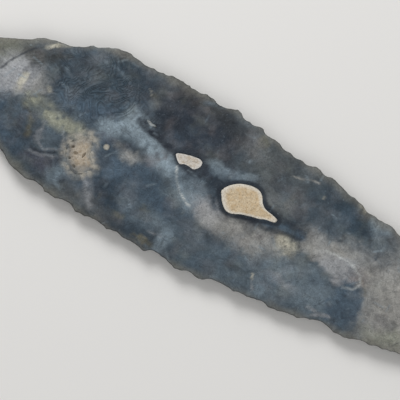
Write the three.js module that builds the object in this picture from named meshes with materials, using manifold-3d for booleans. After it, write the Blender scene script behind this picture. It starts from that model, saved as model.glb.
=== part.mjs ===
// A knapped chert blade: a long, leaf-shaped biface with chalk inclusions seated in its top face.
//
// The blade lies on its lower face. +X runs from the rounded base to the pointed tip, +Y is the left
// edge seen from the base, and +Z is the face with the chalk. The origin is the middle of the bounding
// box, on the surface that the blade lies on. All sizes are in millimetres.

import * as THREE from 'three';
import { mergeVertices } from 'three/addons/utils/BufferGeometryUtils.js';
import Module from 'manifold-3d';

// Driving dimensions of the blade
const BLADE_LENGTH = 240;
const LEFT_HALF_WIDTH = 25.6;
const RIGHT_HALF_WIDTH = 25.0;
const TOP_CROWN = 5.55;
const LOWER_CROWN = 5.2;
const REST_FLAT_DEPTH = 0.35;
const EDGE_WANDER = 0.35;
const EDGE_TRIM = 1.75;
const SECTION_FULLNESS = 2.2;

// Chalk inclusions: the seam round each one, and how far its face lies below the chert
const SEAM_GAP = 0.3;
const CHALK_RECESS = 0.12;
const LARGE_CHALK_DEPTH = 3.2;
const SMALL_CHALK_DEPTH = 2.2;
const POROUS_CHALK_DEPTH = 2.6;
const ROUND_FLECK_DEPTH = 1.2;
const VEIN_FLECK_DEPTH = 0.9;
const PIT_DEPTH = 0.8;

// Fineness of the two faces: each is a row of square tiles of a fine grid, and triangles grow from the
// grid's own size until they would leave the true face by more than the tolerance
const TILES = 5;
const TILE_CELLS = 64;
const FACE_TOLERANCE = 0.09;
const END_CROWDING = 0.4;
const LEAST_THICKNESS = 0.06;

const HALF_LENGTH = BLADE_LENGTH / 2;

// Plan and thickness, drawn through a few points each: the place along the blade, from -1 at the base
// to 1 at the tip, and the share of the greatest half width or crown there
const LEFT_EDGE_SHARES = [
  [-1, 0], [-0.993, 0.094], [-0.972, 0.19], [-0.935, 0.287], [-0.875, 0.416], [-0.79, 0.605],
  [-0.71, 0.785], [-0.665, 0.868], [-0.61, 0.927], [-0.5, 0.988], [-0.43, 0.968], [-0.31, 1],
  [-0.22, 0.967], [-0.125, 0.908], [0, 0.842], [0.1, 0.754], [0.145, 0.685], [0.23, 0.662],
  [0.35, 0.6], [0.5, 0.505], [0.64, 0.4], [0.77, 0.287], [0.88, 0.176], [0.96, 0.082],
  [0.99, 0.036], [1, 0],
];
const RIGHT_EDGE_SHARES = [
  [-1, 0], [-0.992, 0.1], [-0.968, 0.2], [-0.93, 0.3], [-0.87, 0.44], [-0.79, 0.635],
  [-0.71, 0.825], [-0.63, 0.93], [-0.54, 0.968], [-0.45, 0.965], [-0.34, 1], [-0.22, 0.985],
  [-0.1, 0.922], [0.04, 0.85], [0.15, 0.772], [0.25, 0.712], [0.37, 0.61], [0.5, 0.52],
  [0.63, 0.42], [0.76, 0.305], [0.87, 0.19], [0.95, 0.095], [0.988, 0.04], [1, 0],
];
const CROWN_SHARES = [
  [-1, 0], [-0.985, 0.17], [-0.93, 0.42], [-0.8, 0.7], [-0.6, 0.9], [-0.35, 0.99],
  [-0.1, 1], [0.15, 0.95], [0.4, 0.83], [0.62, 0.68], [0.8, 0.5], [0.92, 0.33],
  [0.98, 0.15], [1, 0],
];

// Angle along the blade, from 0 at the base to 1 at the tip. Curves drawn over it close round at both ends.
function alongAngle(x) {
  return Math.acos(THREE.MathUtils.clamp(-x / HALF_LENGTH, -1, 1)) / Math.PI;
}

// A smooth curve through points [place along the blade, value]
function curveThrough(points) {
  const at = points.map(([share]) => alongAngle(share * HALF_LENGTH));
  const value = points.map((point) => point[1]);
  const last = points.length - 1;
  const slope = value.map((_, i) => {
    const before = Math.max(i - 1, 0);
    const after = Math.min(i + 1, last);
    return (value[after] - value[before]) / (at[after] - at[before]);
  });
  return (x) => {
    const angle = alongAngle(x);
    let i = 0;
    while (i < last - 1 && angle > at[i + 1]) i += 1;
    const span = at[i + 1] - at[i];
    const u = (angle - at[i]) / span;
    const v = 1 - u;
    const rise = u * u * (3 - 2 * u);
    return value[i] * (1 - rise) + value[i + 1] * rise + span * u * v * (slope[i] * v - slope[i + 1] * u);
  };
}

const leftShare = curveThrough(LEFT_EDGE_SHARES);
const rightShare = curveThrough(RIGHT_EDGE_SHARES);
const crownShare = curveThrough(CROWN_SHARES);

// Half width of the blank before its edge is trimmed, on the side that y lies on
function blankHalfWidth(x, y) {
  const trim = EDGE_TRIM * crownShare(x);
  return y >= 0 ? leftShare(x) * LEFT_HALF_WIDTH + trim : rightShare(x) * RIGHT_HALF_WIDTH + trim;
}

// Repeatable scatter, the same for the same number each time the blade is built
function scatter(number) {
  const wave = Math.sin(number * 12.9898 + 4.1414) * 43758.5453;
  return wave - Math.floor(wave);
}

function between(low, high, number) {
  return low + (high - low) * scatter(number);
}

// One flake scar: a shallow, tongue-shaped hollow that starts at the edge and runs inwards, bending a
// little on its way. It is deepest at CREST of its length. Its heel is the share of depth missing at
// the edge. A feathered scar runs out thin, and a stepped one breaks off short.
const CREST = 0.3;
const FEATHERED = 2.2;
const STEPPED = 9;

function scarDepth(scar, x, y) {
  const dx = x - scar.x;
  const dy = y - scar.y;
  const along = Math.max((dx * scar.dirX + dy * scar.dirY) / scar.length, 0);
  if (along > 1) return 0;
  const across = (dx * scar.dirY - dy * scar.dirX) / scar.halfWidth + scar.bend * along * along;
  if (Math.abs(across) > 1) return 0;
  const body = along < CREST
    ? 1 - scar.heel * ((CREST - along) / CREST) ** 2
    : 1 - ((along - CREST) / (1 - CREST)) ** scar.end;
  return Math.max(0, scar.depth * (body - across * across));
}

// A row of scars struck from one edge. `side` is 1 on the left edge and -1 on the right one. Each
// scar's size is drawn from the row's range, and a wider scar is also deeper and further from the next.
const WIDTH_PER_PITCH = 0.78;

function edgeRow(side, row) {
  const scars = [];
  const reach = HALF_LENGTH * row.reach;
  let number = row.seed + 500 * (side + 1);
  let x = -reach;
  while (x < reach) {
    const halfWidth = blankHalfWidth(x, side);
    const lean = row.lean + between(-row.leanScatter, row.leanScatter, number + 1);
    const size = between(row.sizes[0], row.sizes[1], number + 2);
    scars.push({
      x,
      y: side * halfWidth,
      dirX: -side * Math.sin(lean),
      dirY: -side * Math.cos(lean),
      length: Math.min(row.length * between(0.75, 1.3, number + 3), row.span * halfWidth),
      halfWidth: row.pitch * size * WIDTH_PER_PITCH,
      depth: row.depth * (0.35 + 0.65 * size) * between(0.75, 1.15, number + 4),
      heel: row.heel,
      end: scatter(number + 5) < row.steps ? STEPPED : FEATHERED,
      bend: between(-row.bend, row.bend, number + 6),
    });
    x += row.pitch * size * between(0.85, 1.15, number + 7);
    number += 8;
  }
  return scars;
}

// Flaking of the two faces. First come a few broad flakes that shape the face, then the thinning
// scars, which lean the same way, then short retouch along the edge. The lower face has shorter scars,
// so a flat is left along its middle.
const TOP_FIRST = {
  pitch: 21, sizes: [0.8, 1.2], length: 38, span: 1.6, depth: 0.55, heel: 0.9,
  lean: 0.3, leanScatter: 0.35, bend: 0.3, steps: 0, reach: 0.8, seed: 101,
};
const TOP_THINNING = {
  pitch: 9, sizes: [0.6, 1.5], length: 24, span: 1.15, depth: 0.75, heel: 0.85,
  lean: 0.38, leanScatter: 0.22, bend: 0.4, steps: 0.2, reach: 0.96, seed: 11,
};
const TOP_RETOUCH = {
  pitch: 3.4, sizes: [0.6, 1.6], length: 5.2, span: 0.45, depth: 0.32, heel: 0,
  lean: 0.15, leanScatter: 0.35, bend: 0.2, steps: 0.15, reach: 0.985, seed: 6011,
};
const LOWER_FIRST = {
  pitch: 23, sizes: [0.8, 1.2], length: 24, span: 0.85, depth: 0.45, heel: 0.9,
  lean: -0.2, leanScatter: 0.3, bend: 0.3, steps: 0, reach: 0.8, seed: 2201,
};
const LOWER_THINNING = {
  pitch: 9.5, sizes: [0.6, 1.5], length: 18, span: 0.78, depth: 0.75, heel: 0.85,
  lean: -0.3, leanScatter: 0.22, bend: 0.4, steps: 0.15, reach: 0.96, seed: 3011,
};
const LOWER_RETOUCH = {
  pitch: 3.6, sizes: [0.6, 1.6], length: 5, span: 0.45, depth: 0.3, heel: 0,
  lean: -0.1, leanScatter: 0.35, bend: 0.2, steps: 0.1, reach: 0.985, seed: 9011,
};

// Scars that thin the rounded base, struck along the blade. `turn` is an angle from +X.
const BASE_SCAR = { length: 28, halfWidth: 5.3, depth: 0.7, heel: 0.4 };
const BASE_STRIKES = [
  { across: 3, turn: 0.16, size: 0.95 },
  { across: -1.2, turn: -0.02, size: 1.15 },
  { across: -5, turn: -0.2, size: 0.9 },
];

function baseRow(mirror) {
  return BASE_STRIKES.map((strike) => ({
    x: -HALF_LENGTH,
    y: mirror * strike.across,
    dirX: Math.cos(strike.turn),
    dirY: mirror * Math.sin(strike.turn),
    length: BASE_SCAR.length * strike.size,
    halfWidth: BASE_SCAR.halfWidth * strike.size,
    depth: BASE_SCAR.depth * strike.size,
    heel: BASE_SCAR.heel,
    end: FEATHERED,
    bend: 0,
  }));
}

// A stepped scar near the left edge of the top face, whose broken end shows as a bright line
const STEP_SCAR = { along: -0.74, turn: -1.14, length: 5.2, halfWidth: 6, depth: 0.75, heel: 0.2 };

function stepScar() {
  const x = STEP_SCAR.along * HALF_LENGTH;
  return {
    x,
    y: blankHalfWidth(x, 1),
    dirX: Math.cos(STEP_SCAR.turn),
    dirY: Math.sin(STEP_SCAR.turn),
    length: STEP_SCAR.length,
    halfWidth: STEP_SCAR.halfWidth,
    depth: STEP_SCAR.depth,
    heel: STEP_SCAR.heel,
    end: STEPPED,
    bend: 0,
  };
}

const bothEdges = (row) => [...edgeRow(1, row), ...edgeRow(-1, row)];
const topFlaking = [
  bothEdges(TOP_FIRST),
  [...bothEdges(TOP_THINNING), ...baseRow(1)],
  [...bothEdges(TOP_RETOUCH), stepScar()],
];
const lowerFlaking = [
  bothEdges(LOWER_FIRST),
  [...bothEdges(LOWER_THINNING), ...baseRow(-1)],
  bothEdges(LOWER_RETOUCH),
];

// How deep the flaking cuts a face: in each layer only the deepest scar counts, which leaves a sharp
// ridge between neighbours, and each layer is cut into the one before
function flakedDepth(flaking, x, y) {
  let total = 0;
  for (const layer of flaking) {
    let deepest = 0;
    for (const scar of layer) deepest = Math.max(deepest, scarDepth(scar, x, y));
    total += deepest;
  }
  return total * crownShare(x);
}

// The two faces. Their heights meet in the cutting edge, which wanders up and down a little.
const EDGE_HEIGHT = LOWER_CROWN - REST_FLAT_DEPTH;

function edgeHeight(x, y) {
  const wave = y >= 0
    ? Math.sin(x * 0.33 + 0.6) * 0.6 + Math.sin(x * 0.71 + 2.1) * 0.4
    : Math.sin(x * 0.29 + 3.4) * 0.6 + Math.sin(x * 0.83 + 1.2) * 0.4;
  const nearEdge = (Math.abs(y) / blankHalfWidth(x, y)) ** 3;
  return EDGE_HEIGHT + EDGE_WANDER * crownShare(x) * wave * nearEdge;
}

function lensShare(x, y) {
  return 1 - (Math.abs(y) / blankHalfWidth(x, y)) ** SECTION_FULLNESS;
}

function topHeight(x, y) {
  const blank = edgeHeight(x, y) + TOP_CROWN * crownShare(x) * lensShare(x, y);
  return blank - flakedDepth(topFlaking, x, y);
}

function lowerHeight(x, y) {
  const blank = edgeHeight(x, y) - LOWER_CROWN * crownShare(x) * lensShare(x, y);
  return Math.max(blank + flakedDepth(lowerFlaking, x, y), 0);
}

// Where the two faces meet on one side, found by halving. This is the scalloped cutting edge.
function cuttingEdge(x, side) {
  let inside = side * blankHalfWidth(x, side) * 0.5;
  let outside = side * blankHalfWidth(x, side);
  for (let step = 0; step < 24; step += 1) {
    const middle = (inside + outside) / 2;
    if (topHeight(x, middle) > lowerHeight(x, middle)) inside = middle;
    else outside = middle;
  }
  return (inside + outside) / 2;
}

// The grid that both faces share: columns along the blade, closer together at its ends, and rows from
// the right edge to the left one. The first and last column each draw together in one point.
const COLUMNS = TILES * TILE_CELLS;

function columnPlace(column) {
  const share = column / COLUMNS;
  const even = 2 * share - 1;
  return HALF_LENGTH * (even * (1 - END_CROWDING) - Math.cos(Math.PI * share) * END_CROWDING);
}

const columns = Array.from({ length: COLUMNS + 1 }, (_, column) => {
  const x = columnPlace(column);
  const isEnd = column === 0 || column === COLUMNS;
  return { x, isEnd, left: isEnd ? 0 : cuttingEdge(x, 1), right: isEnd ? 0 : cuttingEdge(x, -1) };
});

// A grid point on one face. Where the blade is thinnest the faces keep a least distance.
function gridPoint(face, column, row) {
  const { x, isEnd, left, right } = columns[column];
  if (isEnd) return [x, 0, EDGE_HEIGHT];
  const across = (2 * row) / TILE_CELLS - 1;
  const y = across >= 0 ? across * left : -across * right;
  const [top, lower] = [topHeight(x, y), lowerHeight(x, y)];
  if (Math.abs(across) === 1) return [x, y, top];
  const middle = (top + lower) / 2;
  const half = Math.max(top - lower, LEAST_THICKNESS) / 2;
  return [x, y, Math.max(middle + face.side * half, 0)];
}

// Visits the triangles that a right triangle falls into after `depth` halvings. Its long side runs
// from `a` to `b`, and each halving cuts it from its middle to the corner `c`.
function visitHalves(a, b, c, depth, visit) {
  const middle = [(a[0] + b[0]) / 2, (a[1] + b[1]) / 2];
  if (depth === 0) {
    visit(a, b, c, middle);
    return;
  }
  visitHalves(c, a, middle, depth - 1, visit);
  visitHalves(b, c, middle, depth - 1, visit);
}

// The two largest triangles of each tile
const tileHalves = Array.from({ length: TILES }, (_, tile) => {
  const [start, end] = [tile * TILE_CELLS, (tile + 1) * TILE_CELLS];
  return [
    [[start, 0], [end, TILE_CELLS], [end, 0]],
    [[end, TILE_CELLS], [start, 0], [start, TILE_CELLS]],
  ];
}).flat();

// The triangles of one face, each as three grid places. First every halving gets the error that
// leaving it out would bring, counting all the smaller ones inside it. Then the halvings above the
// tolerance are made. Along the cutting edge all of them are, so the two faces meet there.
function faceTriangles(face) {
  const points = columns.map((_, column) => (
    Array.from({ length: TILE_CELLS + 1 }, (unused, row) => gridPoint(face, column, row))
  ));
  const at = ([column, row]) => points[column][row];
  const errors = columns.map(() => new Float64Array(TILE_CELLS + 1));
  const errorAt = ([column, row]) => errors[column][row];
  const middleError = (a, b) => {
    const [p, q] = [at(a), at(b)];
    if (columns[a[0]].isEnd && columns[b[0]].isEnd) return 0;
    return Math.abs(face.height((p[0] + q[0]) / 2, (p[1] + q[1]) / 2) - (p[2] + q[2]) / 2);
  };
  const finest = 2 * Math.log2(TILE_CELLS) - 1;
  for (let depth = finest; depth >= 0; depth -= 1) {
    for (const [a, b, c] of tileHalves) {
      visitHalves(a, b, c, depth, (p, q, corner, middle) => {
        const onEdge = middle[1] === 0 || middle[1] === TILE_CELLS;
        const inside = depth === finest ? [] : [
          errorAt([(corner[0] + p[0]) / 2, (corner[1] + p[1]) / 2]),
          errorAt([(corner[0] + q[0]) / 2, (corner[1] + q[1]) / 2]),
        ];
        const own = onEdge ? Infinity : middleError(p, q);
        errors[middle[0]][middle[1]] = Math.max(errorAt(middle), own, ...inside);
      });
    }
  }
  const triangles = [];
  const split = (a, b, c) => {
    const middle = [(a[0] + b[0]) / 2, (a[1] + b[1]) / 2];
    if (middle.every(Number.isInteger) && errorAt(middle) > FACE_TOLERANCE) {
      split(c, a, middle);
      split(b, c, middle);
    } else {
      triangles.push([at(a), at(b), at(c)]);
    }
  };
  for (const [a, b, c] of tileHalves) split(a, b, c);
  return triangles;
}

const TOP_FACE = { side: 1, height: topHeight };
const LOWER_FACE = { side: -1, height: lowerHeight };

function bladeGeometry() {
  const upwards = faceTriangles(TOP_FACE).map(([a, b, c]) => [a, c, b]);
  const isFlat = ([a, b, c]) => [[a, b], [b, c], [c, a]].some(([p, q]) => p.every((v, k) => v === q[k]));
  const triangles = [...upwards, ...faceTriangles(LOWER_FACE)].filter((triangle) => !isFlat(triangle));
  const geometry = new THREE.BufferGeometry();
  geometry.setAttribute('position', new THREE.Float32BufferAttribute(triangles.flat(2), 3));
  return geometry;
}

// Triangles between the points of a level ring
function capTriangles(ring) {
  return THREE.ShapeUtils.triangulateShape(ring.map(([x, y]) => new THREE.Vector2(x, y)), []);
}

// A closed solid skinned over equal level rings, from the lowest one up, with a flat cap at each end
function skin(rings) {
  const size = rings[0].length;
  const positions = rings.flat(2);
  const index = [];
  for (let i = 0; i < rings.length - 1; i += 1) {
    for (let j = 0; j < size; j += 1) {
      const next = (j + 1) % size;
      const [a, b] = [i * size + j, i * size + next];
      const [c, d] = [b + size, a + size];
      index.push(a, b, c, a, c, d);
    }
  }
  const last = (rings.length - 1) * size;
  for (const [a, b, c] of capTriangles(rings[0])) index.push(c, b, a);
  for (const [a, b, c] of capTriangles(rings.at(-1))) index.push(last + a, last + b, last + c);
  const geometry = new THREE.BufferGeometry();
  geometry.setAttribute('position', new THREE.Float32BufferAttribute(positions, 3));
  geometry.setIndex(index);
  return geometry;
}

// The chalk inclusions. `along` and `across` place each one as a share of the half length and half
// width. The outline goes round anticlockwise, in millimetres from that place.
const LARGE_CHALK = {
  name: 'large_chalk_nodule',
  along: -0.137,
  across: 0.1,
  depth: LARGE_CHALK_DEPTH,
  outline: [
    [-8.3, -0.4], [-7.6, -1.6], [-6.3, -3.4], [-4.3, -4.9], [-2.4, -4.9], [0, -3.8], [3, -2.9],
    [5.5, -2.3], [7.5, -1.5], [10.3, -0.9], [10.6, 0], [9, 0.6], [6, 1.2], [4.4, 2.3],
    [3.2, 4.1], [1.6, 5.2], [-1, 5.3], [-3.9, 4.4], [-6.2, 2.9], [-7.8, 1],
  ],
};
const SMALL_CHALK = {
  name: 'small_chalk_nodule',
  along: -0.314,
  across: 0.21,
  depth: SMALL_CHALK_DEPTH,
  outline: [
    [-4.2, 0], [-3.3, -1.3], [-1.8, -2.2], [-0.6, -1.6], [0.8, -1.5], [2.6, -1.6], [3.9, -0.2],
    [4, 1.3], [3, 1.9], [1, 1.8], [-1.2, 1.3],
  ],
};
const POROUS_CHALK = {
  name: 'porous_chalk_nodule',
  along: -0.556,
  across: -0.33,
  depth: POROUS_CHALK_DEPTH,
  outline: [
    [-4.7, -0.5], [-3.9, -2.8], [-2, -4.9], [0.4, -6], [2.3, -5.6], [3.9, -4], [5.2, -2.4],
    [4, -1], [2.5, 0.4], [2, 2.4], [1.3, 4.6], [0, 6], [-1.6, 5.3], [-3.2, 3.3], [-4.4, 1.6],
  ],
};
const ROUND_FLECK = {
  name: 'round_chalk_fleck',
  along: -0.509,
  across: -0.12,
  depth: ROUND_FLECK_DEPTH,
  outline: [
    [-1.1, 0.1], [-0.8, -0.8], [0.1, -1.1], [0.9, -0.7], [1.1, 0.2], [0.6, 1], [-0.4, 1],
  ],
};
const VEIN_FLECK = {
  name: 'vein_chalk_fleck',
  along: -0.44,
  across: 0.37,
  depth: VEIN_FLECK_DEPTH,
  outline: [
    [-1.9, 0.5], [-1.2, -0.1], [-0.2, -0.7], [0.9, -0.6], [2, -0.1], [1.6, 0.4], [0.3, 0.4],
    [-0.9, 0.8],
  ],
};

// Pits in the porous nodule: place from its middle, length, width and turn
const PITS = [
  { x: 0.9, y: -0.2, length: 2, width: 0.8, turn: 1.45 },
  { x: -1.6, y: -0.9, length: 1.5, width: 1.2, turn: 0.4 },
  { x: -3.1, y: 0.5, length: 1, width: 0.8, turn: 0.9 },
  { x: -0.2, y: -4.6, length: 1.4, width: 0.8, turn: -0.6 },
  { x: -2.5, y: -3, length: 0.9, width: 0.7, turn: 0.2 },
];

// Wall of a seat: how far down each ring lies, and how much of the outline is left there
const BOWL = [
  { down: 0.35, size: 1 },
  { down: 0.7, size: 0.94 },
  { down: 0.9, size: 0.82 },
  { down: 1, size: 0.66 },
];
const ABOVE_FACE = 2;
const POINTS_PER_OUTLINE_POINT = 2;

function chalkPlace(chalk) {
  const x = chalk.along * HALF_LENGTH;
  const half = chalk.across > 0 ? LEFT_HALF_WIDTH : RIGHT_HALF_WIDTH;
  return { x, y: chalk.across * half };
}

// The outline as a smooth closed curve, shrunk to `size` and then pushed outwards by `gap`
function chalkOutline(chalk, size, gap) {
  const corners = chalk.outline.map(([x, y]) => new THREE.Vector3(x * size, y * size, 0));
  const curve = new THREE.CatmullRomCurve3(corners, true, 'centripetal');
  const count = corners.length * POINTS_PER_OUTLINE_POINT;
  const points = [];
  for (let i = 0; i < count; i += 1) {
    const point = curve.getPoint(i / count);
    const heading = curve.getTangent(i / count);
    points.push([point.x + heading.y * gap, point.y - heading.x * gap]);
  }
  return points;
}

// The bowl-shaped body of an inclusion, grown by `gap` for its seat
function chalkBowl(chalk, gap) {
  const { x, y } = chalkPlace(chalk);
  const face = topHeight(x, y);
  const levels = [
    { height: face + ABOVE_FACE, size: 1 },
    ...BOWL.map(({ down, size }) => ({ height: face - down * (chalk.depth + gap), size })),
  ];
  const rings = levels.map(({ height, size }) => (
    chalkOutline(chalk, size, gap).map(([dx, dy]) => [x + dx, y + dy, height])
  ));
  return skin(rings.reverse());
}

function pitGeometry(pit) {
  const { x, y } = chalkPlace(POROUS_CHALK);
  const geometry = new THREE.SphereGeometry(1, 12, 8);
  geometry.scale(pit.length / 2, pit.width / 2, PIT_DEPTH);
  geometry.rotateZ(pit.turn);
  const px = x + pit.x;
  const py = y + pit.y;
  geometry.translate(px, py, topHeight(px, py) - CHALK_RECESS);
  return geometry;
}

// Solids that can be joined and cut, and back to geometry
const wasm = await Module();
wasm.setup();

function toSolid(geometry) {
  const bare = geometry.clone();
  bare.deleteAttribute('normal');
  bare.deleteAttribute('uv');
  const merged = mergeVertices(bare, 1e-5);
  return new wasm.Manifold(new wasm.Mesh({
    numProp: 3,
    vertProperties: new Float32Array(merged.attributes.position.array),
    triVerts: new Uint32Array(merged.index.array),
  }));
}

function toGeometry(solid) {
  const mesh = solid.getMesh();
  const geometry = new THREE.BufferGeometry();
  geometry.setAttribute('position', new THREE.BufferAttribute(mesh.vertProperties, 3));
  geometry.setIndex(new THREE.BufferAttribute(mesh.triVerts, 1));
  geometry.computeVertexNormals();
  return geometry;
}

const chert = new THREE.MeshStandardMaterial({ color: 0x56636f, roughness: 0.5, flatShading: true });
const chalk = new THREE.MeshStandardMaterial({ color: 0xd9c3a0, roughness: 0.9, flatShading: true });

// Puts the middle of the blade's box on the origin
function centring(geometry) {
  geometry.computeBoundingBox();
  const middle = geometry.boundingBox.getCenter(new THREE.Vector3());
  return new THREE.Vector3(-middle.x, -middle.y, -geometry.boundingBox.min.z);
}

function build() {
  const wholeGeometry = bladeGeometry();
  const shift = centring(wholeGeometry);
  const whole = toSolid(wholeGeometry);
  const lowered = whole.translate([0, 0, -CHALK_RECESS]);
  const blade = new THREE.Group();
  const add = (name, solid, material) => {
    const mesh = new THREE.Mesh(toGeometry(solid), material);
    mesh.name = name;
    mesh.position.copy(shift);
    blade.add(mesh);
  };

  let body = whole;
  for (const inclusion of [LARGE_CHALK, SMALL_CHALK, POROUS_CHALK, ROUND_FLECK, VEIN_FLECK]) {
    body = body.subtract(toSolid(chalkBowl(inclusion, SEAM_GAP)));
    let nodule = lowered.intersect(toSolid(chalkBowl(inclusion, 0)));
    if (inclusion === POROUS_CHALK) {
      for (const pit of PITS) nodule = nodule.subtract(toSolid(pitGeometry(pit)));
    }
    add(inclusion.name, nodule, chalk);
  }
  add('chert_body', body, chert);
  return blade;
}

export default build();
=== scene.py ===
import math
import bpy
import numpy as np
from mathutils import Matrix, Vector


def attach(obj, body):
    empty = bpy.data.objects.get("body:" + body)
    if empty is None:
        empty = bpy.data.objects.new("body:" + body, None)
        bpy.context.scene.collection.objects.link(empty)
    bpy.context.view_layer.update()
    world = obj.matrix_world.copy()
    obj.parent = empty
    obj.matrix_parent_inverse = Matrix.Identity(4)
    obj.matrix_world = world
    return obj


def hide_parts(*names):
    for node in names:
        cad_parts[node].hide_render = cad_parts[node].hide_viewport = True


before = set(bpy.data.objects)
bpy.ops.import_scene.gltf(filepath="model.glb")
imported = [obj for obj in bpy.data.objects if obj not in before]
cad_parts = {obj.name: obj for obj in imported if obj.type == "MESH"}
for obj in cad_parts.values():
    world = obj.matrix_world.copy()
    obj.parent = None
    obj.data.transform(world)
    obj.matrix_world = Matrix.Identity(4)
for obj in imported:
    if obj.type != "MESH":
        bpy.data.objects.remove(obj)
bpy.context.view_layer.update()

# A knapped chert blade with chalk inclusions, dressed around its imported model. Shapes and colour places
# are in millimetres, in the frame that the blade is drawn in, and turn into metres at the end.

MM = 0.001

# Driving dimensions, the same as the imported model's
HALF_LENGTH = 120
LEFT_HALF_WIDTH = 25.6
RIGHT_HALF_WIDTH = 25.0
TOP_CROWN = 5.55
LOWER_CROWN = 5.2
REST_FLAT_DEPTH = 0.35
EDGE_WANDER = 0.35
EDGE_TRIM = 1.75
SECTION_FULLNESS = 2.2
EDGE_HEIGHT = LOWER_CROWN - REST_FLAT_DEPTH
LEAST_THICKNESS = 0.06

# Fineness of the faces: columns along the blade, closer together at its ends, and rows across it
COLUMNS = 560
TOP_ROWS = 108
LOWER_ROWS = 58
END_CROWDING = 0.4

# The cutting edge is looked for outwards from this share of the half width, by halving
EDGE_SEARCH_START = 0.5
EDGE_HALVINGS = 24

# Waves of the edge's height: radians per millimetre, start, and share of the wander. They die out
# inwards with this power of the place across.
LEFT_EDGE_WAVES = [(0.33, 0.6, 0.6), (0.71, 2.1, 0.4)]
RIGHT_EDGE_WAVES = [(0.29, 3.4, 0.6), (0.83, 1.2, 0.4)]
EDGE_WAVE_POWER = 3

# Fine relief: ripples across each flake scar, and the grain of the stone. It fades out where the
# blade is thinner than RELIEF_FADE.
RIPPLE_HEIGHT = 0.055
RIPPLE_SPACING = 1.6
RIPPLE_SPACING_SCATTER = (0.7, 1.4)
RIPPLE_STRENGTHS = (0.2, 1)
FULL_RIPPLE_DEPTH = 0.2
GRAIN_HEIGHT = 0.07
GRAIN_SIZE = 1.7
GRAIN_SEED = 40
RELIEF_FADE = 1.2

# Outline of each side and height of the crown: place along the blade, from -1 at the base to 1 at
# the tip, and share of the greatest value there
LEFT_EDGE_SHARES = [
    (-1, 0), (-0.993, 0.094), (-0.972, 0.19), (-0.935, 0.287), (-0.875, 0.416), (-0.79, 0.605),
    (-0.71, 0.785), (-0.665, 0.868), (-0.61, 0.927), (-0.5, 0.988), (-0.43, 0.968), (-0.31, 1),
    (-0.22, 0.967), (-0.125, 0.908), (0, 0.842), (0.1, 0.754), (0.145, 0.685), (0.23, 0.662),
    (0.35, 0.6), (0.5, 0.505), (0.64, 0.4), (0.77, 0.287), (0.88, 0.176), (0.96, 0.082),
    (0.99, 0.036), (1, 0),
]
RIGHT_EDGE_SHARES = [
    (-1, 0), (-0.992, 0.1), (-0.968, 0.2), (-0.93, 0.3), (-0.87, 0.44), (-0.79, 0.635),
    (-0.71, 0.825), (-0.63, 0.93), (-0.54, 0.968), (-0.45, 0.965), (-0.34, 1), (-0.22, 0.985),
    (-0.1, 0.922), (0.04, 0.85), (0.15, 0.772), (0.25, 0.712), (0.37, 0.61), (0.5, 0.52),
    (0.63, 0.42), (0.76, 0.305), (0.87, 0.19), (0.95, 0.095), (0.988, 0.04), (1, 0),
]
CROWN_SHARES = [
    (-1, 0), (-0.985, 0.17), (-0.93, 0.42), (-0.8, 0.7), (-0.6, 0.9), (-0.35, 0.99),
    (-0.1, 1), (0.15, 0.95), (0.4, 0.83), (0.62, 0.68), (0.8, 0.5), (0.92, 0.33),
    (0.98, 0.15), (1, 0),
]


# Plan of the blade

def along_angle(x):
    """The place along the blade as a share of a half turn, which gives the ends more room."""
    return np.arccos(np.clip(-np.asarray(x, float) / HALF_LENGTH, -1, 1)) / np.pi


def curve_through(points):
    """A smooth curve through the points, worked out in shares of a half turn."""
    at = along_angle(np.array([share for share, value in points]) * HALF_LENGTH)
    values = np.array([value for share, value in points], float)
    last = len(points) - 1
    before = np.maximum(np.arange(last + 1) - 1, 0)
    after = np.minimum(np.arange(last + 1) + 1, last)
    slope = (values[after] - values[before]) / (at[after] - at[before])

    def curve(x):
        angle = along_angle(x)
        i = np.searchsorted(at[1:last], angle, side="left")
        span = at[i + 1] - at[i]
        u = (angle - at[i]) / span
        v = 1 - u
        rise = u * u * (3 - 2 * u)
        bend = span * u * v * (slope[i] * v - slope[i + 1] * u)
        return values[i] * (1 - rise) + values[i + 1] * rise + bend

    return curve


left_share = curve_through(LEFT_EDGE_SHARES)
right_share = curve_through(RIGHT_EDGE_SHARES)
crown_share = curve_through(CROWN_SHARES)


def blank_half_width(x, y):
    """Half width of the blank before it is flaked, on the side that y lies on."""
    left = left_share(x) * LEFT_HALF_WIDTH
    right = right_share(x) * RIGHT_HALF_WIDTH
    return np.where(np.asarray(y) >= 0, left, right) + EDGE_TRIM * crown_share(x)


# Repeatable scatter

SCATTER_PACE = 12.9898
SCATTER_START = 4.1414
SCATTER_STRETCH = 43758.5453


def scatter(number):
    """A number from 0 to 1 that jumps about, but is always the same for the same input."""
    wave = math.sin(number * SCATTER_PACE + SCATTER_START) * SCATTER_STRETCH
    return wave - math.floor(wave)


def between(low, high, number):
    return low + (high - low) * scatter(number)


# Flake scars, struck in rows from both edges and from the base

# A scar is deepest at CREST, a share of its length, and runs out in a feather or in a step
CREST = 0.3
FEATHERED = 2.2
STEPPED = 9
WIDTH_PER_PITCH = 0.78

# How far the scars of a row differ, and how many numbers of the scatter a scar and a side take up
LENGTH_SCATTER = (0.75, 1.3)
DEPTH_SCATTER = (0.75, 1.15)
PITCH_SCATTER = (0.85, 1.15)
LEAST_DEPTH_SHARE = 0.35
NUMBERS_PER_SCAR = 8
NUMBERS_PER_SIDE = 1000

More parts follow.
